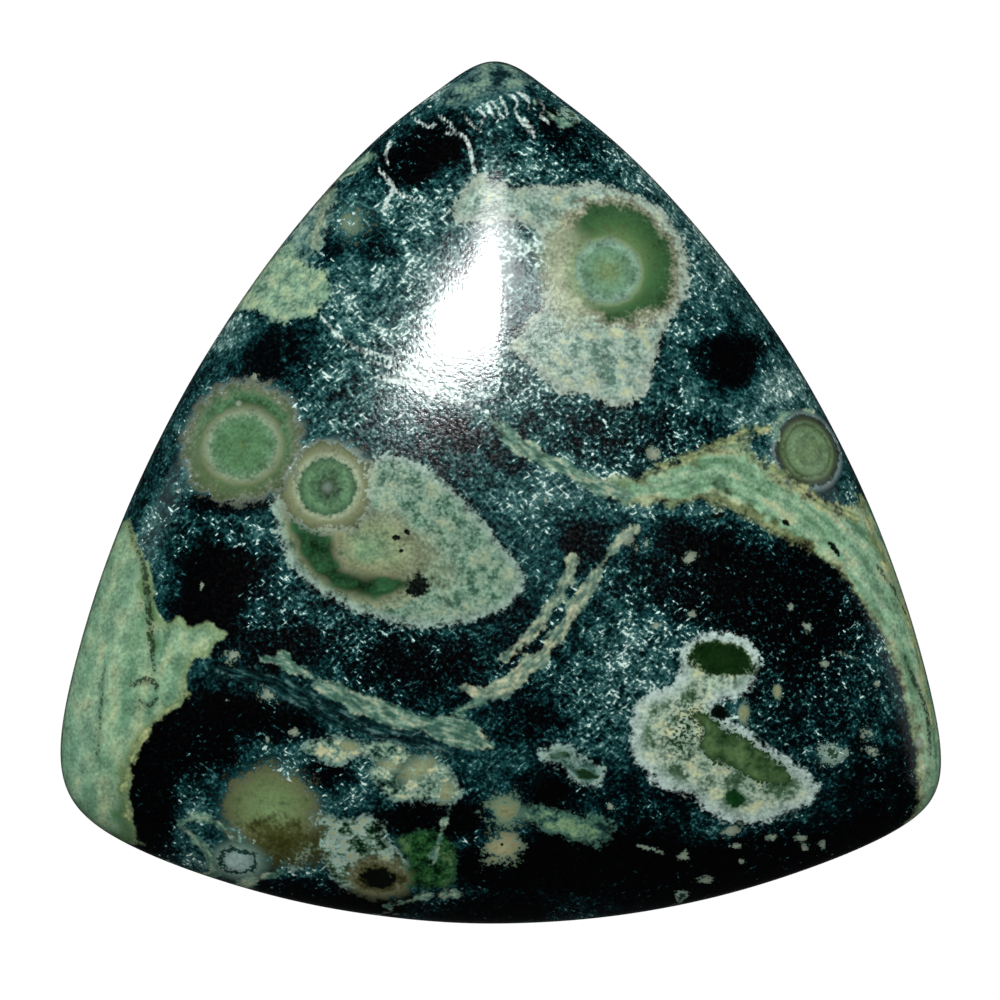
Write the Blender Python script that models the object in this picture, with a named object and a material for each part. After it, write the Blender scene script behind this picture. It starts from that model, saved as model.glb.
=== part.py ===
"""A polished triangular cabochon of star galaxy jasper: one solid stone with a low dome and a flat back.

Metres, +Z up. The stone lies on its flat back at z = 0, its pointed corner towards +Y,
and the middle of its widest outline is over the origin.
"""

import math

import bmesh
import bpy
from mathutils import Vector

MM = 0.001

# Outline seen from above, in directions from the crown, the point that the dome's top stands over.
# Each of the three bulging sides is an arc, given by its centre as seen from the crown, and its radius.
SIDE_ARCS = {
    "left": (Vector((28.3, -16.1)) * MM, 46.9 * MM),
    "bottom": (Vector((-0.1, 22.0)) * MM, 36.6 * MM),
    "right": (Vector((-26.0, -15.4)) * MM, 44.5 * MM),
}
# Each corner's direction from the crown, and how crisply its two sides meet: more is crisper.
TIP_DIRECTION = math.radians(90.4)
CORNERS = (
    (TIP_DIRECTION, 8.4),
    (math.radians(210.3), 14.0),
    (math.radians(331.0), 19.0),
)
# The tip is drawn out past its soft rounding to a slight point.
TIP_POINT = 0.7 * MM
TIP_POINT_SPREAD = math.radians(5.4)

# Heights of the stone's levels above the face that it rests on.
STONE_HEIGHT = 6.0 * MM
GIRDLE_TOP = 1.3 * MM
GIRDLE_BOTTOM = 0.4 * MM
BACK_BEVEL = 0.5 * MM
GIRDLE_LEAN = 0.1 * MM

# The dome's section is a squared-off ellipse, and its level lines turn rounder towards the top.
DOME_EDGE_POWER = 2.3
DOME_CROWN_POWER = 0.62
DOME_ROUNDING = 0.85
DOME_ROUNDING_POWER = 1.2

STEPS_AROUND = 159
CORNER_CROWDING = 0.5
DOME_RINGS = 27
BACK_RINGS = 2

# A dark sea green, as the eye averages the stone's markings.
STONE_COLOUR = (0.085, 0.13, 0.105, 1.0)
STONE_ROUGHNESS = 0.22


def reach_to_arc(direction, centre, radius):
    """How far the arc is from the crown in one direction."""
    along = direction.dot(centre)
    return along + math.sqrt(along**2 - centre.length_squared + radius**2)


def angle_between(a, b):
    return abs((a - b + math.pi) % math.tau - math.pi)


def outline_reach(angle):
    """How far the widest outline is from the crown: the nearest side, blended with the others near a corner."""
    direction = Vector((math.cos(angle), math.sin(angle)))
    crispness = min(CORNERS, key=lambda corner: angle_between(angle, corner[0]))[1]
    blended = sum(
        reach_to_arc(direction, centre, radius) ** -crispness
        for centre, radius in SIDE_ARCS.values()
    )
    point = TIP_POINT * math.exp(-((angle_between(angle, TIP_DIRECTION) / TIP_POINT_SPREAD) ** 2))
    return blended ** (-1 / crispness) + point


def outline_angles():
    """Directions from the crown, anticlockwise from the tip and crowded together at the three corners."""
    angles = []
    for step in range(STEPS_AROUND):
        turn = math.tau * step / STEPS_AROUND
        angles.append(TIP_DIRECTION + turn - CORNER_CROWDING * math.sin(3 * turn) / 3)
    return angles


def level_line(outline, spread, inset=0.0):
    """The outline drawn in towards the crown: spread 1 is the outline itself, and 0 is the crown."""
    mean_reach = sum(point.length for point in outline) / len(outline)
    roundness = DOME_ROUNDING * (1 - spread) ** DOME_ROUNDING_POWER
    line = []
    for point in outline:
        reach = point.length - inset
        reach += (mean_reach - reach) * roundness
        line.append(point.normalized() * reach * spread)
    return line


def dome_height(spread):
    rise = (1 - spread**DOME_EDGE_POWER) ** DOME_CROWN_POWER
    return GIRDLE_TOP + (STONE_HEIGHT - GIRDLE_TOP) * rise


def stone_levels(outline):
    """Every level line with its height, from the middle of the back up to just below the dome's top."""
    levels = []
    for ring in range(1, BACK_RINGS + 1):
        levels.append((level_line(outline, ring / BACK_RINGS, BACK_BEVEL), 0.0))
    levels.append((level_line(outline, 1.0), GIRDLE_BOTTOM))
    for ring in range(DOME_RINGS):
        # The cosine packs the rings together at the steep edge.
        spread = math.cos(math.pi / 2 * ring / DOME_RINGS)
        levels.append((level_line(outline, spread, GIRDLE_LEAN), dome_height(spread)))
    return levels


def stone_mesh():
    angles = outline_angles()
    outline = [Vector((math.cos(a), math.sin(a))) * outline_reach(a) for a in angles]
    low = Vector((min(p.x for p in outline), min(p.y for p in outline)))
    high = Vector((max(p.x for p in outline), max(p.y for p in outline)))
    crown = -(low + high) / 2
    shape = bmesh.new()
    rings = [
        [shape.verts.new((crown.x + point.x, crown.y + point.y, height)) for point in line]
        for line, height in stone_levels(outline)
    ]
    for lower, upper in zip(rings, rings[1:]):
        for i in range(STEPS_AROUND):
            j = (i + 1) % STEPS_AROUND
            shape.faces.new((lower[i], lower[j], upper[j], upper[i]))
    for ring, height in ((rings[0], 0.0), (rings[-1], STONE_HEIGHT)):
        pole = shape.verts.new((crown.x, crown.y, height))
        for i in range(STEPS_AROUND):
            shape.faces.new((pole, ring[i], ring[(i + 1) % STEPS_AROUND]))
    bmesh.ops.recalc_face_normals(shape, faces=shape.faces)
    mesh = bpy.data.meshes.new("cabochon")
    shape.to_mesh(mesh)
    shape.free()
    mesh.shade_smooth()
    mesh.set_sharp_from_angle(angle=math.radians(35))
    return mesh


def stone_material():
    material = bpy.data.materials.new("polished_jasper")
    material.use_nodes = True
    shader = material.node_tree.nodes["Principled BSDF"]
    shader.inputs["Base Color"].default_value = STONE_COLOUR
    shader.inputs["Roughness"].default_value = STONE_ROUGHNESS
    shader.inputs["Metallic"].default_value = 0.0
    return material


for old in list(bpy.data.objects):
    bpy.data.objects.remove(old)

cabochon = bpy.data.objects.new("cabochon", stone_mesh())
cabochon.data.materials.append(stone_material())
bpy.context.scene.collection.objects.link(cabochon)
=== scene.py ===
"""A polished triangular cabochon of star galaxy jasper: its finish, markings, light and camera.

Places on the stone are in millimetres, x to the right and y towards the pointed corner, from the middle
of its outline. Angles are in degrees, anticlockwise. Everything that Blender holds is in metres.
"""

import math

import bpy
import numpy as np
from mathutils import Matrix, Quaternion, Vector
from mathutils.bvhtree import BVHTree


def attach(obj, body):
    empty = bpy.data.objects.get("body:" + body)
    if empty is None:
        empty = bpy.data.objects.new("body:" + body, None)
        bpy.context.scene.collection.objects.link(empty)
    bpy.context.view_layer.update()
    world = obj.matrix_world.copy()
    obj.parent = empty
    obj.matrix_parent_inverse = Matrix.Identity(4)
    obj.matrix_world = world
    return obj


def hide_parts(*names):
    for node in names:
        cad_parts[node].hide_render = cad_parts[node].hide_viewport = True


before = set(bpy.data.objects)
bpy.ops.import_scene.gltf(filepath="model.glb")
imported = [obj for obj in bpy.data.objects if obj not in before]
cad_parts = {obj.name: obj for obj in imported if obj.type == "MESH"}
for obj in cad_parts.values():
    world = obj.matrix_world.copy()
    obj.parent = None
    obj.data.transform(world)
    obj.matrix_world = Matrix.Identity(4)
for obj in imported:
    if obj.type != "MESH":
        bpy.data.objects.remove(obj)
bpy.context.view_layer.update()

MM = 0.001


# Camera. Small stones are photographed from straight above through a long lens, with the pointed corner
# at the top of the picture.
PICTURE_WIDTH = 40.05 * MM
PICTURE_MIDDLE = (-0.03 * MM, -0.31 * MM)
GIRDLE_HEIGHT = 1.0 * MM
LENS = 500.0
SENSOR = 36.0

camera_height = GIRDLE_HEIGHT + PICTURE_WIDTH * LENS / SENSOR
bpy.ops.object.camera_add(location=(*PICTURE_MIDDLE, camera_height), rotation=(0, 0, 0))
camera = bpy.context.active_object
camera.data.lens = LENS
camera.data.sensor_width = SENSOR
camera.data.clip_start = 0.01
camera.data.clip_end = 10.0
bpy.context.scene.camera = camera


# Floor and light. A light table whose white acrylic glows by itself, so that no shadow shows on it. A small
# bright softbox with a dimmer glow beside it, high on the pointed corner's side, is what the dome mirrors,
# and the steep left and right edges mirror two long low ones, and the dark room rather than the table.
FLOOR_RADIUS = 1.2
FLOOR_DROP = 0.01 * MM
SHEET_OWN_COLOUR = (0.0, 0.0, 0.0, 1.0)
SHEET_GLOW_COLOUR = (1.0, 1.0, 1.0, 1.0)
SHEET_GLOW = 1.03
SHEET_ROUGHNESS = 0.9
SOFTBOX_WHITE = (1.0, 1.0, 1.0)
SOFTBOX_COOL = (0.9, 0.97, 1.0)
ROOM_COLOUR = (0.9, 0.95, 1.0, 1.0)
ROOM_GLOW = 0.018

bpy.ops.object.select_all(action="DESELECT")
bpy.ops.mesh.primitive_circle_add(
    vertices=96, radius=FLOOR_RADIUS, fill_type="NGON", location=(0, 0, -FLOOR_DROP))
floor = bpy.context.active_object
floor.name = "floor"
sheet = bpy.data.materials.new("white_acrylic")
sheet.use_nodes = True
sheet_shader = sheet.node_tree.nodes["Principled BSDF"]
sheet_shader.inputs["Base Color"].default_value = SHEET_OWN_COLOUR
sheet_shader.inputs["Roughness"].default_value = SHEET_ROUGHNESS
sheet_shader.inputs["Specular IOR Level"].default_value = 0.0
sheet_shader.inputs["Emission Color"].default_value = SHEET_GLOW_COLOUR
sheet_shader.inputs["Emission Strength"].default_value = SHEET_GLOW
floor.data.materials.append(sheet)
floor.visible_glossy = False


def softbox(name, shape, direction, roll, distance, width, height, watts, colour):
    """A softbox that faces the stone from one direction: its bearing and its height above the floor."""
    bearing, rise = (math.radians(angle) for angle in direction)
    away = Vector((math.cos(bearing) * math.cos(rise), math.sin(bearing) * math.cos(rise), math.sin(rise)))
    bpy.ops.object.light_add(type="AREA", location=away * distance)
    box = bpy.context.active_object
    box.name = name
    box.rotation_mode = "QUATERNION"
    box.rotation_quaternion = away.to_track_quat("Z", "Y") @ Quaternion((0, 0, 1), math.radians(roll))
    box.data.shape = shape
    box.data.size = width
    box.data.size_y = height
    box.data.energy = watts
    box.data.color = colour
    box.visible_camera = False


softbox("key_softbox", "ELLIPSE", (105, 67.9), -6, 0.32, 0.09, 0.069, 0.85, SOFTBOX_WHITE)
softbox("key_glow", "ELLIPSE", (92, 62.5), -6, 0.33, 0.17, 0.11, 0.4, SOFTBOX_WHITE)
softbox("left_softbox", "RECTANGLE", (180, 12), 0, 0.34, 0.34, 0.12, 0.055, SOFTBOX_COOL)
softbox("right_softbox", "RECTANGLE", (0, 12), 0, 0.34, 0.34, 0.12, 0.055, SOFTBOX_COOL)

world = bpy.data.worlds.new("dim_studio")
world.use_nodes = True
room = world.node_tree.nodes["Background"]
room.inputs["Color"].default_value = ROOM_COLOUR
room.inputs["Strength"].default_value = ROOM_GLOW
bpy.context.scene.world = world
bpy.context.scene.view_settings.view_transform = "Standard"


# The stone. One piece of orbicular jasper, sawn to a triangle, ground to a low dome on a lapidary wheel and
# polished. Its flat back is bevelled all round, and the grinder's edges are worn very slightly round.
EDGE_WEAR = 0.05 * MM
BACK_RINGS = 9
FINE_STEPS = 2
WAVINESS = 0.03 * MM
WAVE_SIZE = 4.5 * MM
GIRDLE_BOTTOM = 0.4 * MM
DOME_FOOT = 1.5 * MM
NEARLY_THERE = 0.05 * MM
LEVEL_ENOUGH = 0.01 * MM
RIM_ANGLE = math.radians(25)

bpy.ops.object.select_all(action="DESELECT")
stone = bpy.data.objects.new("jasper_cabochon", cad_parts["cabochon"].data.copy())
bpy.context.scene.collection.objects.link(stone)
stone.data.materials.clear()
bpy.context.view_layer.objects.active = stone
stone.select_set(True)


def pick(element, chosen):
    """Selects just the faces or edges that pass a test, given the test and FACE or EDGE."""
    bpy.ops.mesh.select_mode(type=element)
    bpy.ops.mesh.select_all(action="DESELECT")
    bpy.ops.object.mode_set(mode="OBJECT")
    for part in stone.data.polygons if element == "FACE" else stone.data.edges:
        part.select = chosen(part)
    bpy.ops.object.mode_set(mode="EDIT")


bpy.ops.object.mode_set(mode="EDIT")
bpy.ops.mesh.select_all(action="SELECT")
bpy.ops.mesh.customdata_custom_splitnormals_clear()
bpy.ops.mesh.remove_doubles(threshold=0.002 * MM)
bpy.ops.mesh.tris_convert_to_quads(face_threshold=math.radians(60), shape_threshold=math.radians(60))

# The back is laid anew in even rings, drawn in from its rim to the point under the crown.
crown = max(stone.data.vertices, key=lambda corner: corner.co.z).co.copy()
pick("FACE", lambda face: face.normal.z < -0.99)
bpy.ops.mesh.delete(type="FACE")
bpy.ops.mesh.select_mode(type="EDGE")
bpy.ops.mesh.select_non_manifold()
for ring in range(BACK_RINGS):
    shrink = (BACK_RINGS - 1 - ring) / (BACK_RINGS - ring)
    bpy.ops.mesh.extrude_edges_move()
    if shrink:
        bpy.ops.transform.resize(value=(shrink, shrink, 1), center_override=(crown.x, crown.y, 0))
    else:
        bpy.ops.mesh.merge(type="CENTER")
bpy.ops.mesh.select_all(action="SELECT")
bpy.ops.mesh.normals_make_consistent(inside=False)


def runs_level(edge, height):
    """Whether an edge runs round the stone at one height."""
    start, end = (stone.data.vertices[corner].co.z for corner in edge.vertices)
    return abs(start - end) < LEVEL_ENOUGH and abs(start - height) < NEARLY_THERE


bpy.ops.object.mode_set(mode="OBJECT")
faces_by_edge = {}
for face in stone.data.polygons:
    for key in face.edge_keys:
        faces_by_edge.setdefault(key, []).append(face)
back_rim = set()
for edge in stone.data.edges:
    beside = faces_by_edge[tuple(sorted(edge.vertices))]
    if len(beside) == 2 and beside[0].normal.angle(beside[1].normal) > RIM_ANGLE:
        back_rim.add(edge.index)
bpy.ops.object.mode_set(mode="EDIT")
# The back's rim is worn first, and then the girdle's foot, so that the mesh is the same in every run.
pick("EDGE", lambda edge: runs_level(edge, 0.0) and edge.index in back_rim)
bpy.ops.mesh.bevel(offset=EDGE_WEAR, segments=1, affect="EDGES")
pick("EDGE", lambda edge: runs_level(edge, GIRDLE_BOTTOM))
bpy.ops.mesh.bevel(offset=EDGE_WEAR, segments=1, affect="EDGES")
bpy.ops.object.mode_set(mode="OBJECT")

dome = stone.vertex_groups.new(name="dome")
dome.add([corner.index for corner in stone.data.vertices if corner.co.z > DOME_FOOT], 1.0, "REPLACE")

finer = stone.modifiers.new("finer", "SUBSURF")
finer.levels = FINE_STEPS
finer.render_levels = FINE_STEPS
bpy.ops.object.modifier_apply(modifier=finer.name)

hand_wave = bpy.data.textures.new("hand_wave", "CLOUDS")
hand_wave.noise_scale = WAVE_SIZE
hand_wave.noise_depth = 0
waves = stone.modifiers.new("waves", "DISPLACE")
waves.texture = hand_wave
waves.texture_coords = "LOCAL"
waves.strength = WAVINESS
waves.vertex_group = dome.name
bpy.ops.object.modifier_apply(modifier=waves.name)
bpy.ops.object.shade_smooth()
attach(stone, "root")
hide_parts("cabochon")


# How the markings run through the stone. Each is drawn where it meets the dome, and runs down into the rock
# on a slant, so that the girdle and the back show their own cut through it.
LEAN = np.array((0.55, 0.38))
SWAY = 0.9
SWAY_LENGTH = 2.6
STONE_HEIGHT = 6.0
WALL_TOP = 1.9
HIGH_ABOVE = 20
FAR_AWAY = 1e9
NO_LENGTH = 1e-6

corners = np.empty(len(stone.data.vertices) * 3)
stone.data.vertices.foreach_get("co", corners)
corners = corners.reshape(-1, 3) / MM
skin = BVHTree.FromPolygons([v.co for v in stone.data.vertices], [f.vertices for f in stone.data.polygons])
depth = np.empty(len(corners))
for number, (x, y, z) in enumerate(corners):
    above = skin.ray_cast(Vector((x, y, HIGH_ABOVE)) * MM, Vector((0, 0, -1)))[0]
    depth[number] = max(above.z / MM if above else 0, WALL_TOP) - z
quads = np.empty(len(stone.data.polygons) * 4, int)
stone.data.loops.foreach_get("vertex_index", quads)
quads = quads.reshape(-1, 4)
sway = np.stack((np.sin(corners[:, 1] / SWAY_LENGTH), np.cos(corners[:, 0] / SWAY_LENGTH)), axis=1)
places = corners[:, :2] + depth[:, None] * LEAN + (depth[:, None] / STONE_HEIGHT) * SWAY * sway


def store(name, values):
    """Keeps one number, or three, for each of the stone's corners."""
    kind = "FLOAT" if values.ndim == 1 else "FLOAT_VECTOR"
    kept = stone.data.attributes.new(name, kind, "POINT")
    kept.data.foreach_set("value" if values.ndim == 1 else "vector", values.astype(np.float32).ravel())


def course(points, closed=False, steps=4):
    """A smooth line through some points, which may carry a half width as a third number."""
    points = np.array(points, float)
    if closed:
        padded = np.concatenate((points[-1:], points, points[:2]))
    else:
        padded = np.concatenate((points[:1], points, points[-1:]))
    line = []
    for before, start, end, after in zip(padded, padded[1:], padded[2:], padded[3:]):
        for step in range(steps):
            t = step / steps
            bend = 2 * start + (end - before) * t
            bend = bend + (2 * before - 5 * start + 4 * end - after) * t**2
            bend = bend + (3 * start - before - 3 * end + after) * t**3
            line.append(bend / 2)
    line.append(padded[-2])
    return np.array(line)


def stretches(line):
    """For each straight stretch of a line: its ends, and the gap to it from every place, that place's side
    of it, how far along the line the place is, and its share of the stretch.
    """
    covered = 0.0
    for start, end in zip(line, line[1:]):
        step = end[:2] - start[:2]
        length = math.hypot(*step)
        if length < NO_LENGTH:
            continue
        share = np.clip((places - start[:2]) @ step / length**2, 0, 1)
        off = places - start[:2] - share[:, None] * step
        side = np.sign(step[0] * off[:, 1] - step[1] * off[:, 0])
        yield start, end, np.hypot(off[:, 0], off[:, 1]), side, covered + share * length, share
        covered += length


def store_patch(name, outline, shrink=0.0):
    """Keeps how deep each place is inside a closed outline. Deeper in the rock the patch is smaller."""
    line = course(outline, closed=True)
    gap = np.full(len(places), FAR_AWAY)
    for _, _, distance, _, _, _ in stretches(line):
        gap = np.minimum(gap, distance)
    inside = np.zeros(len(places), bool)
    for start, end in zip(line, line[1:]):
        crosses = (start[1] > places[:, 1]) != (end[1] > places[:, 1])
        rise = end[1] - start[1] if end[1] != start[1] else 1e-9
        meets = start[0] + (places[:, 1] - start[1]) / rise * (end[0] - start[0])
        inside ^= crosses & (places[:, 0] < meets)
    store(name, np.where(inside, gap, -gap) - shrink * depth)


def store_veins(name, veins):
    """Keeps how far across and along the nearest vein each place is, and how deep inside that vein."""
    kept = np.zeros((len(places), 3))
    kept[:, 2] = -FAR_AWAY
    for vein in veins:
        line = course(vein)
        for start, end, gap, side, along, share in stretches(line):
            inside = start[2] + share * (end[2] - start[2]) - gap
            nearer = inside > kept[:, 2]
            kept[nearer] = np.stack((gap * side, along, inside), axis=1)[nearer]
    store(name, kept)


def store_spots(name, spots, reach_down=0.8):
    """Keeps where each face's corners lie in the nearest spot, in that spot's own half lengths."""
    offsets = []
    for x, y, half_length, half_width, turn in spots:
        along = np.array((math.cos(math.radians(turn)), math.sin(math.radians(turn))))
        across = np.array((-along[1], along[0]))
        off = places - (x, y)
        shares = (off @ along / half_length, off @ across / half_width, depth / reach_down)
        offsets.append(np.stack(shares, axis=1))
    offsets = np.array(offsets)
    nearest = np.linalg.norm(offsets[:, quads].mean(axis=2), axis=2).argmin(axis=0)
    kept = stone.data.attributes.new(name, "FLOAT_VECTOR", "CORNER")
    kept.data.foreach_set("vector", offsets[nearest[:, None], quads].astype(np.float32).ravel())


def store_haze(name, hazes):
    """Keeps a soft field: the sum of round-edged hazes, each with its own strength."""
    total = np.zeros(len(places))
    for x, y, half_length, half_width, turn, strength in hazes:
        along = np.array((math.cos(math.radians(turn)), math.sin(math.radians(turn))))
        across = np.array((-along[1], along[0]))
        off = places - (x, y)
        gap = (off @ along / half_length) ** 2 + (off @ across / half_width) ** 2
        total += strength * np.exp(-(gap**1.5) * 0.7)
    store(name, total)


# The jasper's polish: a hard, glassy surface, in which the finest grains stand a few thousandths
# of a millimetre proud where the softer rock between them has polished away.
GLASSINESS = 1.54
FULL_GLOSS = 0.5
GRAIN_RELIEF = 0.006 * MM
jasper = bpy.data.materials.new("polished_jasper")
jasper.use_nodes = True
stone.data.materials.append(jasper)
nodes = jasper.node_tree.nodes
links = jasper.node_tree.links
polish = nodes["Principled BSDF"]
polish.inputs["IOR"].default_value = GLASSINESS
polish.inputs["Specular IOR Level"].default_value = FULL_GLOSS


def feed(socket, value):
    """Gives a socket another node's output, or a plain value."""
    if isinstance(value, bpy.types.NodeSocket):
        links.new(value, socket)
    else:
        socket.default_value = value


def sum_of(operation, first, second=0.0, third=0.0):
    node = nodes.new("ShaderNodeMath")
    node.operation = operation
    for socket, value in zip(node.inputs, (first, second, third)):
        feed(socket, value)
    return node.outputs[0]


def fade(value, start, end, at_start=0.0, at_end=1.0):
    """Runs smoothly from one number to another as the value goes from start to end."""
    node = nodes.new("ShaderNodeMapRange")
    node.interpolation_type = "SMOOTHSTEP"
    for socket, given in zip(node.inputs, (value, start, end, at_start, at_end)):
        feed(socket, given)
    return node.outputs[0]


def blend(share, under, over):
    """Lays one colour over another by a share from 0 to 1."""
    node = nodes.new("ShaderNodeMix")
    node.data_type = "RGBA"
    feed(node.inputs[0], share)
    feed(node.inputs[6], under)
    feed(node.inputs[7], over)
    return node.outputs[2]


def shade(red, green, blue):
    """A colour as a paint chart gives it, from 0 to 255, in linear light."""
    linear = []
    for level in (red / 255, green / 255, blue / 255):
        linear.append(level / 12.92 if level <= 0.04045 else ((level + 0.055) / 1.055) ** 2.4)
    return (*linear, 1.0)


def chart(value, stops):
    """Turns a number into a colour by a chart of (number, colour) or (number, colour, cover) stops."""
    node = nodes.new("ShaderNodeValToRGB")
    colours = node.color_ramp.elements
    for extra in range(len(stops) - 2):
        colours.new(0.5)
    last = stops[-1][0]
    for element, stop in zip(colours, stops):
        element.position = stop[0] / last
        element.color = (*stop[1][:3], stop[2] if len(stop) > 2 else 1.0)
    feed(node.inputs[0], value if last == 1 else sum_of("DIVIDE", value, last))
    return node.outputs[0], node.outputs[1]


def stored(name, output="Fac"):
    node = nodes.new("ShaderNodeAttribute")
    node.attribute_name = name
    return node.outputs[output]


def laid(place, location=(0, 0, 0), turn=(0, 0, 0), scale=(1, 1, 1), kind="POINT"):
    """Moves, turns and stretches places before a pattern is read there."""
    node = nodes.new("ShaderNodeMapping")
    node.vector_type = kind
    feed(node.inputs["Vector"], place)
    node.inputs["Location"].default_value = location
    node.inputs["Rotation"].default_value = [math.radians(angle) for angle in turn]
    node.inputs["Scale"].default_value = scale
    return node.outputs[0]


def cloud(size, detail=2.0, place=None, shift=0.0):
    """Soft random mottling from about 0.2 to 0.8, with blotches of a size in millimetres."""
    node = nodes.new("ShaderNodeTexNoise")
    spot = stone_place if place is None else place
    if shift:
        spot = laid(spot, location=(shift, shift * 1.7, shift * 0.6))
    feed(node.inputs["Vector"], spot)
    node.inputs["Scale"].default_value = 1 / size
    node.inputs["Detail"].default_value = detail
    return node.outputs[0]


own_place = nodes.new("ShaderNodeTexCoord").outputs["Object"]
stone_place = laid(own_place, scale=(1 / MM, 1 / MM, 1 / MM))
broad = cloud(2.2, 1.0)
middling = cloud(0.6, 2.0, shift=7.0)
fine = cloud(0.14, 2.0, shift=13.0)
blotchy = sum_of("SUBTRACT", cloud(0.7, 1.2, shift=3.0), 0.5)


# The groundmass. Nearly black, sea-green jasper clouded with slate, felted all through with fine pale
# needles and flecked with tiny white grains. Part of the slate clouding is painted reflection along the
# steep left and right edges and a painted haze round the dome's highlight, and round that highlight the
# needles are painted stronger as its sparkle.
DARK_HAZES = [
    (-2.84, 13.75, 1.68, 1.04, 20, -0.6), (-3.84, 12.63, 1.00, 0.72, 0, -0.4),
    (-8.65, 5.73, 1.20, 1.28, 0, -0.28), (-9.97, 5.01, 0.80, 0.88, 0, -0.28),
    (9.19, 5.25, 1.20, 1.04, 0, -0.7), (-11.06, -3.29, 1.60, 1.04, 0, -0.8),
    (-11.86, -4.77, 1.20, 0.56, 0, -0.6), (-9.65, -5.89, 2.41, 1.20, 0, -0.35),
    (-11.06, -0.40, 2.00, 0.36, 0, -0.6), (-3.44, -7.02, 2.41, 1.20, 0, -0.45),
    (-14.07, -11.91, 0.96, 2.81, 0, -0.9), (-12.46, -9.90, 1.80, 1.20, 0, -0.8),
    (-10.06, -8.90, 2.41, 0.72, -10, -0.7), (1.17, -8.90, 1.36, 1.04, 0, -0.35),
    (3.58, -14.80, 4.41, 1.04, 0, -0.9), (10.40, -15.04, 4.81, 1.20, 15, -0.8),
    (7.99, -3.49, 2.41, 1.60, 0, -0.4), (11.60, -4.29, 3.21, 2.00, 0, -0.55),
    (12.40, -7.90, 2.41, 2.41, 0, -0.3), (15.41, -11.91, 1.80, 1.60, 0, -0.5),
    (5.58, 2.33, 2.81, 0.96, 0, -0.22), (-0.83, 1.92, 2.00, 0.56, -25, -0.3),
    (2.38, 14.16, 1.36, 0.88, -30, -0.35), (-6.85, -16.32, 2.81, 0.64, -10, -0.6),
    (-0.03, -16.64, 2.41, 0.56, 0, -0.5), (-2.44, -13.03, 2.21, 0.64, 0, -0.6),
    (-0.43, -14.96, 0.96, 0.80, 0, -0.5), (1.97, -11.91, 1.20, 1.00, 0, -0.5),
    (-6.85, -11.19, 1.00, 0.60, 0, -0.5), (5.58, -12.51, 2.41, 1.40, 0, -0.3),
    (-4.92, 9.74, 0.96, 0.56, 0, -0.3), (-6.85, 9.74, 0.56, 0.64, 0, -0.4),
    (3.10, -1.88, 1.04, 1.00, 0, -0.3), (0.77, -5.89, 1.20, 1.20, 0, -0.3),
    (7.80, -2.10, 1.80, 0.70, -10, -0.3),
]
# Slate hazes. Those at (-10.74, 6.22), (7.99, 10.75) and (10.60, 4.05), by the steep left and right edges,
# are painted reflection of the low side light there; the wide one at (-0.83, 8.14) is a painted haze round
# the dome's highlight.
SLATE_AND_REFLECTION_HAZES = [
    (-13.26, -2.69, 0.96, 2.41, 0, 0.06), (-12.30, -1.80, 1.20, 1.00, 0, -0.2),
    (-10.74, 6.22, 0.88, 0.96, 0, 0.3), (7.99, 10.75, 1.00, 3.41, 38, 0.25),
    (10.60, 4.05, 2.00, 1.12, 20, 0.3), (5.58, -6.70, 2.41, 2.00, 0, 0.08),
    (3.98, -9.30, 2.81, 1.60, 0, 0.1), (1.57, -0.28, 2.41, 2.41, 0, 0.1),
    (5.98, -2.09, 1.20, 1.40, 0, 0.08), (-0.83, 8.14, 6.01, 5.21, 0, 0.2),
    (-1.23, 16.16, 1.60, 0.80, 0, 0.3),
]
# Felt hazes: where the pale needles show more. The wide first one, round the dome's highlight, is partly
# painted sparkle of that highlight.
FELT_AND_SPARKLE_HAZES = [
    (-1.80, 7.60, 4.80, 5.40, 0, 0.7), (-4.84, 3.73, 3.21, 2.00, 0, 0.5), (-7.65, 3.73, 2.00, 1.60, 0, 0.5),
    (-11.20, -1.40, 2.40, 1.40, 0, 0.6), (-7.00, -5.40, 3.40, 1.60, 0, 0.6),
    (-2.80, -6.60, 3.00, 1.60, 0, 0.6), (2.20, -8.20, 3.00, 2.00, 0, 0.4),
    (9.00, -4.60, 5.00, 3.40, 0, 0.5), (5.20, 2.00, 3.60, 1.60, 0, 0.7),
    (-0.83, 0.52, 3.61, 2.41, -30, 0.4), (4.78, -7.10, 3.61, 2.81, 0, 0.3),
    (3.98, -9.90, 2.41, 2.00, 0, 0.4), (7.59, 7.74, 1.20, 2.41, 0, 0.3), (3.98, 12.95, 2.41, 0.80, 0, 0.5),
    (-0.03, 13.35, 2.00, 1.20, 0, 0.6), (-3.24, 11.35, 2.00, 1.20, 0, 0.5),
    (-3.24, -6.10, 3.21, 0.64, 0, 0.2), (-4.04, -11.91, 2.41, 1.00, 0, 0.4),
    (-6.45, -5.09, 3.21, 1.60, 0, 0.3), (12.00, -7.50, 2.81, 2.41, 0, 0.35),
]
SPECK_HAZES = [
    (9.20, -4.20, 5.00, 3.00, 0, 0.8), (12.40, -8.00, 3.00, 3.60, 0, 0.7), (5.20, 1.90, 3.60, 1.50, 0, 0.8),
    (-3.60, -6.60, 3.20, 1.60, 0, 0.6), (2.60, -8.20, 3.00, 2.00, 0, 0.5),
    (-13.60, -11.00, 1.60, 2.50, 0, 0.35), (3.20, 13.20, 3.00, 1.60, 0, 0.6),
    (-2.60, -12.20, 2.40, 1.20, 0, 0.5), (-7.40, -5.60, 3.20, 1.20, 0, 0.5),
    (7.60, -12.80, 3.60, 1.20, 0, 0.4), (-8.80, -10.60, 2.80, 1.20, 0, 0.4),
    (0.80, 4.60, 3.00, 1.20, -30, 0.5),
]
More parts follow.
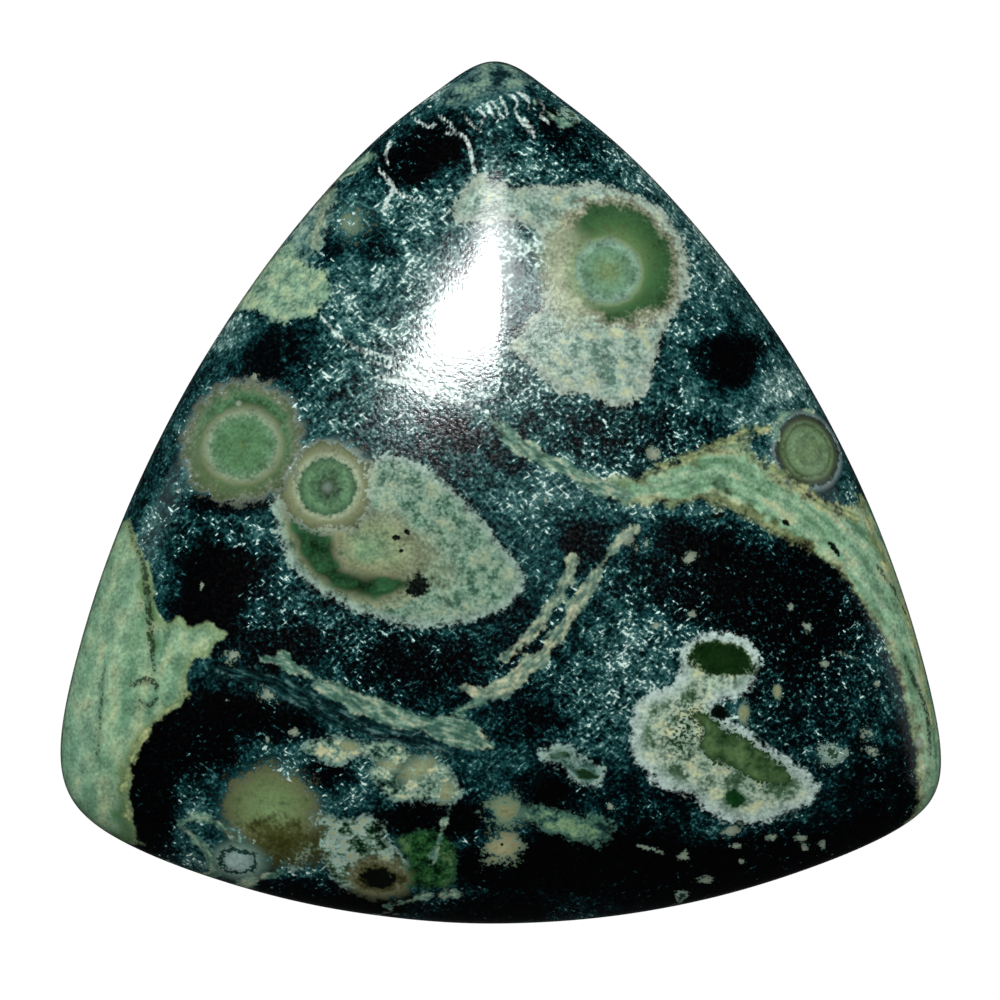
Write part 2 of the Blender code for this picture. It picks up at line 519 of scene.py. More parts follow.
# The tone field is the rock's own dark and slate clouding together with the painted edge reflections and
# the painted haze round the highlight; the felt field is partly painted sparkle round that highlight.
store_haze("tone_and_painted_light", DARK_HAZES + SLATE_AND_REFLECTION_HAZES)
store_haze("specks", SPECK_HAZES)
store_haze("felt_and_sparkle", FELT_AND_SPARKLE_HAZES)


def needles(turn, shift):
    """Short needles that lie roughly one way, as a number that is high on each needle."""
    along = laid(stone_place, (shift, shift, shift), (8, -8, turn), (0.34, 0.135, 0.2), kind="TEXTURE")
    return cloud(1.0, 1.5, place=along)


strongest = sum_of("MAXIMUM", needles(38, 0.0), needles(-40, 5.3))
needle = sum_of("MULTIPLY_ADD", strongest, 7.5, -4.1)
# The tone includes painted reflection at the steep edges and a painted haze round the highlight.
tone = sum_of("ADD", stored("tone_and_painted_light"), 0.47)
tone = sum_of("MULTIPLY_ADD", sum_of("SUBTRACT", broad, 0.5), 0.6, tone)
tone = sum_of("MULTIPLY_ADD", sum_of("SUBTRACT", middling, 0.5), 0.7, tone)
# More needles show where the felt field is high; round the highlight this is partly painted sparkle.
needle_share = sum_of("MULTIPLY_ADD", stored("felt_and_sparkle"), 0.11, 0.085)
ground_level = sum_of("MULTIPLY_ADD", needle, needle_share, sum_of("MAXIMUM", tone, -0.1))
ground_level = sum_of("MULTIPLY_ADD", sum_of("SUBTRACT", fine, 0.5), 0.5, ground_level)
speck_share = sum_of("MULTIPLY_ADD", stored("specks"), 0.34, 0.1)
ground_level = sum_of("MULTIPLY_ADD", fade(fine, 0.545, 0.70), speck_share, ground_level)
rare_specks = sum_of("MULTIPLY", fade(strongest, 0.64, 0.74), fade(broad, 0.44, 0.6, 0.08, 0.5))
ground_level = sum_of("ADD", ground_level, rare_specks)
ground, _ = chart(ground_level, [
    (0.0, shade(0, 0, 1)),
    (0.22, shade(1, 7, 9)),
    (0.36, shade(3, 31, 34)),
    (0.52, shade(19, 62, 63)),
    (0.70, shade(58, 98, 96)),
    (0.86, shade(116, 146, 140)),
    (1.0, shade(186, 206, 198)),
])
colour = ground


# Patches of paler, greener jasper. Mottled bodies grown round the orbs and at the corners, each with a
# whitish rim and an uneven, frayed edge.
ORB_C_BODY = [
    (-9.0, -0.3), (-8.9, -1.4), (-8.3, -2.9), (-7.2, -3.9), (-5.7, -4.7), (-4.4, -5.1), (-3.1, -5.3),
    (-1.2, -5.1), (0.1, -4.6), (0.8, -3.8), (0.9, -3.2), (0.1, -2.2), (-0.8, -1.0), (-2.0, 0.2),
    (-3.1, 1.0), (-4.4, 1.5), (-6.0, 0.9), (-8.1, 0.5),
]
CRESCENT = [
    (-8.5, -0.3), (-8.4, -0.9), (-8.2, -1.6), (-7.9, -2.5), (-7.2, -3.4), (-6.2, -4.0), (-5.0, -4.2),
    (-4.2, -4.0), (-3.6, -3.6), (-4.0, -3.4), (-5.2, -3.3), (-6.1, -3.1), (-6.5, -2.7), (-6.7, -1.9),
    (-7.3, -1.5), (-7.7, -1.0), (-8.0, -0.5),
]
ORB_D_BODY = [
    (2.4, 12.2), (1.2, 12.2), (0.0, 12.3), (-0.9, 12.6), (-1.6, 11.9), (-2.0, 11.1), (-1.2, 10.7),
    (0.8, 10.7), (1.8, 10.1), (2.0, 8.9), (1.8, 7.7), (0.8, 6.5), (0.4, 5.7), (1.2, 5.0), (1.9, 4.4),
    (2.6, 3.9), (3.4, 4.0), (4.0, 3.6), (4.8, 3.4), (5.6, 3.9), (5.9, 4.6), (6.3, 5.7), (6.6, 6.7),
    (7.3, 7.7), (7.5, 8.9), (7.2, 10.1), (6.4, 11.3), (5.2, 11.9), (4.0, 12.3),
]
ORB_H_BODY = [
    (7.3, -6.1), (7.1, -6.7), (6.9, -7.6), (6.0, -8.0), (5.4, -8.3), (5.2, -9.3), (5.3, -10.5),
    (5.8, -11.0), (6.5, -11.7), (7.6, -12.1), (8.2, -12.6), (8.9, -13.0), (9.8, -13.2), (10.8, -13.0),
    (11.9, -12.6), (12.6, -12.0), (12.3, -11.3), (11.4, -10.6), (10.6, -10.1), (9.8, -9.5), (8.9, -9.0),
    (8.5, -8.5), (9.0, -8.2), (9.8, -7.9), (10.2, -7.2), (10.2, -6.5), (9.8, -6.0), (8.9, -5.7),
    (8.0, -5.7),
]
ORB_H_LENS = [
    (7.6, -8.8), (8.1, -9.4), (7.9, -10.1), (8.3, -10.6), (9.4, -11.1), (10.4, -11.6), (11.2, -11.7),
    (11.6, -11.5), (11.4, -11.0), (10.6, -10.4), (9.7, -9.8), (8.9, -9.4), (8.2, -8.9),
]
MINT_CLUMP = [
    (-6.6, -9.8), (-6.0, -9.7), (-5.4, -10.0), (-4.6, -9.8), (-4.0, -10.0), (-3.4, -10.4), (-2.8, -10.6),
    (-2.2, -10.9), (-1.7, -11.5), (-1.6, -12.1), (-2.0, -12.3), (-2.8, -12.3), (-3.7, -12.3), (-4.4, -12.1),
    (-4.9, -11.7), (-5.2, -11.2), (-5.0, -10.7), (-5.6, -10.5), (-6.4, -10.8), (-7.2, -10.6), (-7.9, -10.3),
    (-7.6, -9.9), (-7.0, -9.7),
]
PALE_ZONE = [
    (-7.3, -12.8), (-6.6, -13.0), (-6.0, -13.0), (-5.2, -12.9), (-4.5, -13.3), (-4.7, -13.7), (-4.1, -14.2),
    (-3.7, -14.6), (-3.6, -15.0), (-4.1, -15.7), (-4.8, -14.8), (-5.4, -15.3), (-6.0, -15.8), (-6.6, -15.6),
    (-7.0, -15.0), (-7.3, -14.3), (-8.0, -14.9), (-8.4, -15.0), (-8.0, -14.0), (-7.6, -13.3),
]
DARK_GREEN_CLUMP = [
    (-4.1, -13.7), (-3.3, -13.5), (-2.4, -13.5), (-1.9, -14.0), (-1.8, -14.8), (-2.1, -15.7), (-3.1, -15.8),
    (-3.9, -15.5), (-3.6, -14.8), (-4.0, -14.3),
]
TIP_PATCH = [
    (-2.4, 15.7), (-1.9, 16.3), (-1.2, 16.8), (-0.4, 17.6), (0.4, 17.7), (1.6, 16.8), (1.0, 16.2),
    (0.2, 16.0), (-0.7, 15.8), (-1.4, 15.5), (-2.0, 15.4),
]
PAIRED_EYES = [
    (1.57, -10.31), (1.89, -10.11), (2.38, -10.02), (2.86, -10.15), (3.14, -10.39), (3.50, -10.55),
    (3.86, -10.79), (4.10, -11.03), (3.98, -11.31), (3.82, -11.59), (3.42, -11.71), (3.06, -11.51),
    (2.74, -11.19), (2.38, -10.95), (1.97, -10.75), (1.65, -10.59),
]
EYE_CENTRES = [
    (1.93, -10.47), (2.14, -10.35), (2.46, -10.31), (2.78, -10.43), (2.66, -10.56), (2.72, -10.62),
    (3.00, -11.07), (3.18, -11.00), (3.58, -11.12), (3.86, -11.23), (3.66, -11.42), (3.34, -11.42),
    (3.02, -11.25), (2.70, -10.68), (2.62, -10.60), (2.30, -10.62), (2.02, -10.60),
]
GREEN_BAR = [
    (0.6, -12.7), (1.5, -12.5), (2.5, -12.7), (3.5, -12.9), (4.2, -13.1), (4.4, -13.6), (4.0, -14.0),
    (3.2, -13.9), (2.2, -13.6), (1.2, -13.2),
]
UPPER_LEFT_HEAD = [
    (-6.2, 13.2), (-6.6, 12.2), (-6.7, 11.3), (-6.9, 10.7), (-7.1, 10.1), (-7.4, 9.6), (-8.2, 9.3),
    (-9.2, 9.4), (-10.0, 9.8), (-9.0, 11.4), (-7.2, 13.4),
]
UPPER_LEFT_FOOT = [
    (-8.1, 9.4), (-7.5, 9.0), (-7.1, 8.9), (-6.8, 8.4), (-6.8, 7.9), (-7.1, 7.4), (-7.4, 7.0), (-8.1, 7.1),
    (-8.6, 6.8), (-9.2, 7.0), (-9.7, 7.2), (-10.3, 7.3), (-11.0, 7.3), (-11.0, 8.1), (-10.0, 9.8),
    (-9.2, 10.2), (-8.4, 10.1),
]

WIDE_RIM = 0.2
BODY_SOFTNESS = 0.14
frayed = sum_of("SUBTRACT", middling, 0.5)
frayed_finely = sum_of("MULTIPLY_ADD", needle, 0.07, sum_of("SUBTRACT", fine, 0.5))


def cover_of(depth_inside, soft=0.06, fray=0.8, fine_fray=0.6, start=0.0):
    """How fully a marking covers each place, from how deep the place is inside the marking's edge."""
    ragged = sum_of("MULTIPLY_ADD", frayed, fray, depth_inside)
    ragged = sum_of("MULTIPLY_ADD", frayed_finely, fine_fray, ragged)
    return fade(ragged, start - soft, start + soft)


def mottled(light, mid, dark, tan):
    """A body colour that wanders between four shades."""
    mixed = sum_of("MULTIPLY_ADD", frayed, 0.75, sum_of("MULTIPLY_ADD", blotchy, 0.75, 0.5))
    mixed = sum_of("MULTIPLY_ADD", frayed_finely, 0.5, mixed)
    return chart(mixed, [(0.33, dark), (0.45, mid), (0.56, light), (0.70, tan), (1.0, tan)])[0]


def two_greens(value, dark, light, start, end):
    """A green that wanders between two shades."""
    return chart(value, [(start, dark), (end, light), (1.0, light)])[0]


def lay_body(under, name, outline, light, mid, dark, tan, rim, rim_width):
    """A mottled body with a whitish rim, which is fringed with needles where it is wide."""
    store_patch(name, outline, shrink=0.12)
    inside = stored(name)
    body = blend(fade(inside, rim_width, 0.0), mottled(light, mid, dark, tan), rim)
    if rim_width > WIDE_RIM:
        fringe = fade(sum_of("MULTIPLY_ADD", needle, 0.22, inside), -0.1, 0.35, 0.0, 0.6)
        under = blend(fringe, under, rim)
    return blend(cover_of(inside, BODY_SOFTNESS), under, body)


colour = lay_body(
    colour, "orb_c_body", ORB_C_BODY, shade(122, 150, 130), shade(104, 138, 116), shade(64, 102, 82),
    shade(136, 152, 124), shade(132, 156, 144), 0.45)
colour = lay_body(
    colour, "orb_d_body", ORB_D_BODY, shade(148, 172, 158), shade(132, 158, 144), shade(98, 132, 116),
    shade(160, 170, 138), shade(146, 162, 148), 0.5)
colour = lay_body(
    colour, "orb_h_body", ORB_H_BODY, shade(156, 178, 158), shade(126, 152, 130), shade(72, 102, 74),
    shade(174, 182, 142), shade(166, 188, 180), 0.75)
colour = lay_body(
    colour, "mint_clump", MINT_CLUMP, shade(138, 164, 144), shade(96, 128, 110), shade(16, 52, 44),
    shade(178, 180, 140), shade(104, 134, 122), 0.2)
colour = lay_body(
    colour, "pale_zone", PALE_ZONE, shade(142, 170, 160), shade(92, 122, 98), shade(10, 40, 22),
    shade(140, 148, 112), shade(110, 136, 124), 0.2)
colour = lay_body(
    colour, "dark_green_clump", DARK_GREEN_CLUMP, shade(38, 80, 42), shade(22, 62, 30), shade(4, 30, 10),
    shade(72, 104, 66), shade(30, 66, 42), 0.2)
colour = lay_body(
    colour, "tip_patch", TIP_PATCH, shade(72, 104, 98), shade(44, 74, 74), shade(14, 38, 40),
    shade(104, 130, 112), shade(70, 102, 98), 0.2)
colour = lay_body(
    colour, "upper_left_head", UPPER_LEFT_HEAD, shade(104, 138, 126), shade(82, 118, 110),
    shade(50, 86, 84), shade(130, 156, 138), shade(86, 118, 110), 0.15)
colour = lay_body(
    colour, "upper_left_foot", UPPER_LEFT_FOOT, shade(132, 162, 134), shade(120, 154, 128),
    shade(96, 134, 114), shade(148, 166, 130), shade(108, 138, 118), 0.15)
colour = lay_body(
    colour, "paired_eyes", PAIRED_EYES, shade(118, 148, 138), shade(100, 132, 122), shade(64, 98, 88),
    shade(140, 160, 140), shade(134, 162, 152), 0.2)
store_patch("eye_centres", EYE_CENTRES, shrink=0.3)
eye_green = two_greens(blotchy, shade(20, 48, 26), shade(60, 92, 74), 0.0, 0.12)
colour = blend(cover_of(stored("eye_centres"), 0.05, 0.4, 0.3), colour, eye_green)
colour = lay_body(
    colour, "green_bar", GREEN_BAR, shade(78, 116, 96), shade(52, 88, 76), shade(18, 46, 44),
    shade(108, 138, 102), shade(62, 98, 84), 0.2)

store_patch("crescent", CRESCENT, shrink=0.3)
crescent_green = two_greens(middling, shade(8, 44, 16), shade(40, 82, 50), 0.3, 0.7)
store_patch("orb_h_lens", ORB_H_LENS, shrink=0.3)
lens_green = two_greens(middling, shade(30, 62, 30), shade(76, 102, 64), 0.3, 0.62)


# Orbs. Rounded bodies of needles grown outwards from a seed, laid down in rings of green, tan and olive.
# Each is a ball or an egg in the rock, cut open by the dome.
unevenness = sum_of("MULTIPLY_ADD", frayed_finely, 0.75, frayed)


def from_centre(centre, reaches):
    """Places measured from an upright egg's centre, each way in shares of the egg's reach that way."""
    node = nodes.new("ShaderNodeVectorMath")
    node.operation = "MULTIPLY_ADD"
    feed(node.inputs[0], stone_place)
    node.inputs[1].default_value = [1 / reach for reach in reaches]
    node.inputs[2].default_value = [-middle / reach for middle, reach in zip(centre, reaches)]
    return node.outputs[0]


def orb_rings(under, centre, half_sizes, turn, rings, wobble=0.16):
    """Lays an egg-shaped orb, whose rings are (share of its reach, colour, cover) stops.

    A centre without a height is on the dome's own surface.
    """
    if len(centre) == 2:
        surface = skin.ray_cast(Vector((*centre, HIGH_ABOVE)) * MM, Vector((0, 0, -1)))[0]
        centre = (*centre, surface.z / MM)
    edge = rings[-1][0]
    reaches = [size * edge for size in half_sizes]
    if turn:
        inside = laid(stone_place, centre, (0, 0, turn), reaches, kind="TEXTURE")
    else:
        inside = from_centre(centre, reaches)
    length = nodes.new("ShaderNodeVectorMath")
    length.operation = "LENGTH"
    feed(length.inputs[0], inside)
    reach = sum_of("MULTIPLY_ADD", unevenness, wobble / edge, length.outputs["Value"])
    tint, cover = chart(reach, [(share / edge, tone, how_much) for share, tone, how_much in rings])
    return blend(cover, under, tint)


TAN = shade(150, 158, 126)
WHITISH = shade(140, 162, 152)

colour = orb_rings(colour, (-4.9, -2.1, 4.9), (2.2, 1.45, 3.0), -20, [
    (0.0, shade(118, 145, 111), 0.9), (0.55, shade(130, 146, 108), 0.9), (0.85, shade(116, 122, 92), 0.75),
    (1.15, shade(106, 112, 86), 0.0)])
colour = orb_rings(colour, (-5.4, -2.4, 4.8), (1.1, 0.8, 2.0), 0, [
    (0.0, shade(104, 140, 104), 1.0), (0.6, shade(112, 146, 110), 0.8), (1.1, shade(118, 145, 111), 0.0)],
    1.2)
halo = fade(sum_of("MULTIPLY_ADD", frayed, 1.2, stored("crescent")), -0.75, -0.1, 0.0, 0.75)
halo = sum_of("MULTIPLY", halo, fade(stored("orb_c_body"), 0.1, 0.5))
colour = blend(halo, colour, shade(122, 126, 94))
colour = orb_rings(colour, (-2.9, -2.7, 4.9), (1.0, 1.7, 2.4), 35, [
    (0.0, shade(118, 126, 96), 0.7), (0.6, shade(112, 122, 94), 0.6), (1.2, shade(120, 134, 110), 0.0)],
    1.2)
colour = blend(cover_of(stored("crescent"), 0.2, 0.8, 0.3), colour, crescent_green)
colour = orb_rings(colour, (-6.9, 0.2, 5.0), (1.9, 1.8, 3.0), 0, [
    (0.0, shade(136, 152, 128), 1.0), (0.66, shade(140, 150, 116), 1.0), (0.80, shade(122, 132, 98), 1.0),
    (0.91, shade(98, 106, 76), 0.95), (1.0, shade(134, 150, 134), 0.7), (1.12, shade(136, 152, 140), 0.0)],
    0.5)
colour = orb_rings(colour, (-6.87, 0.2, 5.0), (1.25, 1.22, 2.4), 0, [
    (0.0, shade(124, 140, 134), 1.0), (0.18, shade(106, 124, 112), 1.0), (0.28, shade(56, 78, 56), 1.0),
    (0.45, shade(68, 102, 74), 1.0), (0.7, shade(90, 128, 92), 1.0), (0.9, shade(64, 98, 70), 1.0),
    (0.98, shade(134, 152, 124), 1.0), (1.08, shade(148, 160, 130), 0.8),
    (1.18, shade(136, 152, 128), 0.0)], 0.22)
colour = orb_rings(colour, (-10.4, 2.05, 4.2), (2.5, 2.4, 3.0), 0, [
    (0.0, shade(66, 104, 72), 1.0), (0.62, shade(54, 92, 60), 1.0), (0.78, shade(72, 110, 76), 1.0),
    (0.88, shade(86, 110, 82), 1.0), (0.96, shade(94, 104, 80), 1.0), (1.02, shade(112, 124, 110), 0.8),
    (1.12, shade(90, 102, 96), 0.0)], 0.4)
colour = orb_rings(colour, (-10.65, 1.5, 4.2), (2.05, 1.75, 2.6), -15, [
    (0.0, shade(98, 112, 76), 1.0), (0.7, shade(86, 108, 74), 1.0), (0.9, shade(78, 98, 64), 0.85),
    (1.12, shade(72, 92, 62), 0.0)], 0.9)
colour = orb_rings(colour, (-10.3, 1.85, 4.2), (1.55, 1.42, 2.4), 0, [
    (0.0, shade(96, 122, 80), 1.0), (0.12, shade(80, 117, 81), 1.0), (0.6, shade(78, 117, 80), 1.0),
    (0.82, shade(92, 128, 96), 1.0), (0.95, shade(124, 144, 116), 1.0), (1.08, shade(118, 130, 100), 0.8),
    (1.2, shade(112, 120, 84), 0.0)], 0.3)
colour = orb_rings(colour, (4.85, 9.45, 4.8), (2.8, 2.95, 3.0), 0, [
    (0.0, shade(112, 130, 92), 1.0), (0.46, shade(88, 116, 74), 1.0), (0.58, shade(66, 102, 62), 1.0),
    (0.72, shade(54, 90, 54), 1.0), (0.82, shade(52, 86, 54), 1.0), (0.88, shade(92, 106, 80), 1.0),
    (0.96, shade(124, 126, 106), 0.9), (1.06, shade(134, 142, 126), 0.0)], 0.36)
colour = orb_rings(colour, (2.7, 8.7, 5.0), (1.2, 2.3, 3.0), 10, [
    (0.0, shade(164, 174, 146), 1.0), (0.6, shade(152, 164, 134), 0.9), (1.15, TAN, 0.0)], 0.5)
colour = orb_rings(colour, (4.25, 8.8, 4.9), (1.72, 1.6, 2.4), 0, [
    (0.0, shade(126, 146, 108), 1.0), (0.72, shade(104, 138, 100), 1.0), (0.9, shade(100, 130, 88), 0.6),
    (1.1, shade(84, 112, 70), 0.0)], 0.3)
colour = orb_rings(colour, (4.3, 8.85, 4.9), (1.4, 1.35, 2.4), 0, [
    (0.0, shade(126, 146, 102), 1.0), (0.25, shade(116, 144, 100), 1.0), (0.5, shade(104, 140, 108), 1.0),
    (0.76, shade(98, 134, 108), 1.0), (0.9, shade(122, 154, 134), 1.0), (1.0, shade(116, 144, 116), 0.8),
    (1.12, TAN, 0.0)], 0.3)
colour = orb_rings(colour, (12.35, 1.7, 3.4), (1.36, 1.42, 2.4), 20, [
    (0.0, shade(96, 118, 80), 1.0), (0.35, shade(98, 124, 86), 1.0), (0.42, shade(84, 108, 74), 1.0),
    (0.52, shade(104, 132, 96), 1.0), (0.68, shade(100, 128, 90), 1.0), (0.74, shade(74, 92, 62), 1.0),
    (0.82, shade(96, 120, 86), 1.0), (0.92, shade(62, 72, 52), 1.0), (1.02, shade(50, 64, 56), 0.9),
    (1.1, shade(128, 148, 146), 0.7), (1.24, shade(110, 134, 132), 0.0)], 0.16)
colour = orb_rings(colour, (-9.15, -12.65), (1.95, 1.85, 2.6), 0, [
    (0.0, shade(112, 140, 94), 1.0), (0.4, shade(108, 132, 88), 1.0), (0.72, shade(100, 116, 76), 1.0),
    (0.9, shade(98, 104, 74), 0.95), (1.1, shade(70, 84, 70), 0.0)], 0.9)
colour = orb_rings(colour, (-8.8, -13.9), (1.75, 1.1, 2.0), -10, [
    (0.0, shade(58, 60, 20), 0.95), (0.6, shade(66, 70, 32), 0.85), (1.2, shade(90, 94, 60), 0.0)], 1.3)
colour = orb_rings(colour, (-10.5, -14.75), (1.35, 1.05, 1.8), 0, [
    (0.0, shade(156, 180, 176), 1.0), (0.40, shade(140, 168, 160), 1.0), (0.47, shade(20, 50, 44), 1.0),
    (0.55, shade(34, 68, 58), 0.9), (0.62, shade(122, 150, 136), 0.9), (0.82, shade(100, 130, 118), 0.5),
    (1.02, shade(80, 110, 100), 0.0)], 0.45)
colour = orb_rings(colour, (-4.9, -15.4), (1.35, 0.95, 1.6), 0, [
    (0.0, shade(4, 8, 4), 1.0), (0.38, shade(6, 12, 6), 1.0), (0.52, shade(66, 68, 38), 1.0),
    (0.85, shade(104, 106, 76), 0.9), (1.12, shade(90, 104, 76), 0.0)], 0.6)
colour = orb_rings(colour, (-6.0, 10.7), (0.55, 0.6, 2.0), 0, [
    (0.0, shade(126, 142, 112), 0.9), (0.6, shade(96, 122, 100), 0.7), (1.2, shade(60, 90, 84), 0.0)], 4.0)
colour = orb_rings(colour, (0.15, -12.65), (0.78, 0.75, 1.6), 0, [
    (0.0, shade(140, 146, 106), 1.0), (0.5, shade(118, 138, 108), 1.0), (0.85, shade(88, 116, 98), 0.9),
    (1.15, shade(60, 92, 80), 0.0)], 2.2)
colour = orb_rings(colour, (0.05, -14.15), (0.8, 0.66, 1.6), 20, [
    (0.0, shade(156, 154, 116), 1.0), (0.55, shade(146, 148, 112), 1.0), (0.85, shade(108, 128, 106), 0.9),
    (1.15, shade(60, 92, 80), 0.0)], 2.0)
colour = orb_rings(colour, (8.7, -6.6, 4.4), (1.5, 0.78, 2.0), -8, [
    (0.0, shade(26, 50, 20), 1.0), (0.7, shade(12, 38, 10), 1.0), (0.92, shade(20, 44, 18), 1.0),
    (1.0, shade(70, 92, 60), 0.8), (1.1, WHITISH, 0.0)], 0.5)
grain_patch = nodes.new("ShaderNodeVectorMath")
grain_patch.operation = "LENGTH"
grain_place = laid(stone_place, (7.4, -9.3, 4.0), (0, 0, -20), (1.3, 2.3, 3.0), kind="TEXTURE")
feed(grain_patch.inputs[0], grain_place)
dark_grains = sum_of("MULTIPLY", fade(grain_patch.outputs["Value"], 1.0, 0.3), fade(fine, 0.50, 0.44))
colour = blend(dark_grains, colour, shade(24, 50, 24))
lens_inside = stored("orb_h_lens")
lens_green = blend(fade(lens_inside, 0.22, 0.0, 0.0, 0.85), lens_green, shade(22, 48, 16))
colour = blend(cover_of(lens_inside, 0.06, 0.35, 0.9), colour, lens_green)
colour = orb_rings(colour, (9.3, -12.2), (0.62, 0.46, 1.4), -30, [
    (0.0, shade(8, 48, 14), 1.0), (0.6, shade(22, 62, 28), 1.0), (1.1, shade(120, 150, 130), 0.0)], 0.5)


# Veins and bands. Seams of pale sea-green and cream jasper that filled cracks between the orb fields,
# streaked along their length, with dark seams and tan streaks at their walls.
PALE_VEINS = [
    [(-0.43, 3.01, 0.08), (-0.03, 2.61, 0.20), (0.45, 2.13, 0.32), (1.09, 1.64, 0.36), (1.77, 1.32, 0.28),
     (2.58, 0.92, 0.24), (3.38, 0.44, 0.28), (4.18, 0.12, 0.28), (4.98, -0.12, 0.24)],
    [(-0.59, -8.18, 0.08), (-1.35, -8.50, 0.08), (-1.99, -8.94, 0.08)],
    [(-7.37, -7.58, 0.12), (-6.45, -7.94, 0.32), (-5.64, -8.42, 0.44), (-4.84, -8.66, 0.44),
     (-4.04, -8.94, 0.40), (-3.24, -9.18, 0.36), (-2.44, -9.38, 0.44), (-1.63, -9.58, 0.56),
     (-0.91, -9.82, 0.36), (-0.39, -10.15, 0.12)],
    [(-9.37, -6.66, 0.16), (-8.77, -6.66, 0.28), (-8.05, -7.06, 0.20), (-7.57, -7.34, 0.08)],
    [(-6.33, 12.79, 0.12), (-5.72, 13.11, 0.16), (-5.16, 13.47, 0.12)],
    [(1.33, 15.64, 0.05), (1.77, 15.28, 0.08), (2.18, 14.92, 0.07), (2.66, 14.64, 0.08),
     (3.14, 14.88, 0.06)],
    [(-12.80, -13.20, 0.08), (-11.90, -13.00, 0.12), (-11.20, -13.30, 0.12), (-10.60, -13.90, 0.10)],
    [(-12.80, -13.20, 0.08), (-12.20, -13.90, 0.12), (-11.60, -14.60, 0.14), (-11.40, -15.20, 0.14),
     (-10.80, -15.70, 0.16), (-9.90, -15.50, 0.16), (-8.90, -15.20, 0.10)],
    [(-2.00, -12.60, 0.05), (-2.30, -13.30, 0.08), (-2.50, -14.00, 0.07), (-2.70, -14.80, 0.12)],
    [(-4.64, -16.60, 0.10), (-3.96, -16.44, 0.16), (-3.24, -16.20, 0.12), (-2.52, -16.04, 0.12),
     (-1.71, -16.04, 0.16)],
    [(11.04, 2.13, 0.06), (11.08, 2.77, 0.12), (11.44, 3.13, 0.12), (12.00, 3.25, 0.10),
     (12.48, 3.25, 0.04)],
]
CREAM_VEINS = [
    [(5.26, -1.48, 0.20), (4.54, -2.13, 0.12), (3.98, -2.89, 0.12), (3.58, -3.61, 0.24),
     (3.06, -4.41, 0.28), (2.58, -5.29, 0.24), (1.81, -6.30, 0.24), (0.97, -7.02, 0.32),
     (0.17, -7.74, 0.32), (-0.63, -7.98, 0.28), (-1.43, -7.78, 0.20)],
    [(2.86, -2.53, 0.16), (2.78, -3.17, 0.24), (2.38, -3.97, 0.20), (1.89, -4.77, 0.18),
     (1.37, -5.49, 0.18), (0.77, -6.10, 0.16), (0.17, -6.66, 0.16)],
    [(-6.49, 12.63, 0.12), (-6.81, 12.03, 0.24), (-7.01, 11.47, 0.24), (-7.21, 10.95, 0.20),
     (-7.33, 10.43, 0.20), (-7.45, 10.02, 0.20), (-7.41, 9.70, 0.08)],
]
SLATE_VEIN = [
    (-11.46, -6.90, 0.12), (-10.46, -7.18, 0.20), (-9.25, -7.50, 0.36), (-8.05, -8.10, 0.48),
    (-6.85, -8.66, 0.44), (-5.64, -9.18, 0.36), (-4.04, -9.66, 0.32), (-2.84, -10.02, 0.32),
    (-1.95, -10.47, 0.16),
]
# Hairlines of pale jasper. The first four run beside the dome's highlight, and their bright white, which
# all of them share, is partly a painted glint of that highlight.
HAIRLINES_AND_GLINT = [
    [(-7.81, 7.74, 0.03), (-7.05, 6.86, 0.05), (-6.37, 6.14, 0.08), (-5.56, 5.65, 0.10),
     (-4.64, 5.41, 0.09), (-3.84, 5.09, 0.08), (-3.04, 4.61, 0.08), (-2.24, 4.05, 0.08),
     (-1.31, 3.57, 0.08), (-0.27, 3.09, 0.06)],
    [(-4.90, 4.60, 0.08), (-4.20, 4.45, 0.14), (-3.40, 4.20, 0.12), (-2.60, 3.85, 0.10),
     (-1.55, 3.40, 0.06)],
    [(-5.20, 5.20, 0.05), (-4.30, 4.95, 0.09), (-3.40, 4.55, 0.10), (-2.60, 4.05, 0.09),
     (-1.80, 3.50, 0.05)],
    [(-4.30, 5.65, 0.05), (-3.30, 5.30, 0.09), (-2.40, 4.70, 0.10), (-1.60, 4.10, 0.05)],
    [(-2.20, 14.32, 0.06), (-1.51, 14.24, 0.07), (-1.27, 13.87, 0.06), (-1.15, 13.35, 0.06),
     (-1.03, 12.75, 0.09)],
    [(-4.90, 12.90, 0.06), (-4.50, 12.50, 0.07), (-4.30, 12.10, 0.08), (-4.50, 11.70, 0.07),
     (-4.70, 11.20, 0.05)],
    [(-4.30, 12.10, 0.07), (-3.60, 11.70, 0.06), (-2.80, 11.60, 0.05)],
    [(-4.40, 14.00, 0.05), (-4.60, 13.50, 0.06), (-4.50, 13.10, 0.04)],
    [(-3.40, 14.90, 0.05), (-2.90, 14.60, 0.06), (-2.60, 14.70, 0.04)],
    [(-0.55, 15.52, 0.05), (-0.39, 15.20, 0.05), (-0.15, 14.80, 0.04)],
    [(-0.95, 15.32, 0.05), (-0.63, 15.00, 0.05), (-0.79, 14.72, 0.04)],
    [(-1.51, 15.16, 0.05), (-1.23, 14.76, 0.06), (-0.79, 14.40, 0.05)],
    [(-0.03, 15.76, 0.05), (0.17, 15.40, 0.05), (0.25, 15.00, 0.04)],
    [(0.41, 15.88, 0.06), (0.65, 15.56, 0.06), (0.57, 15.24, 0.05), (0.81, 14.80, 0.05),
     (1.17, 14.32, 0.05)],
    [(0.73, 15.96, 0.06), (1.05, 15.72, 0.06), (1.13, 15.24, 0.04)],
    [(-2.44, 15.04, 0.05), (-2.08, 14.76, 0.05), (-1.83, 14.44, 0.04)],
    [(1.50, 15.70, 0.05), (1.75, 15.35, 0.05), (1.60, 15.05, 0.05), (1.90, 14.75, 0.04)],
    [(-0.35, 15.62, 0.04), (-0.12, 15.25, 0.04), (0.05, 14.85, 0.04)],
    [(0.95, 14.90, 0.04), (1.25, 14.55, 0.05), (1.35, 14.10, 0.04)],
]
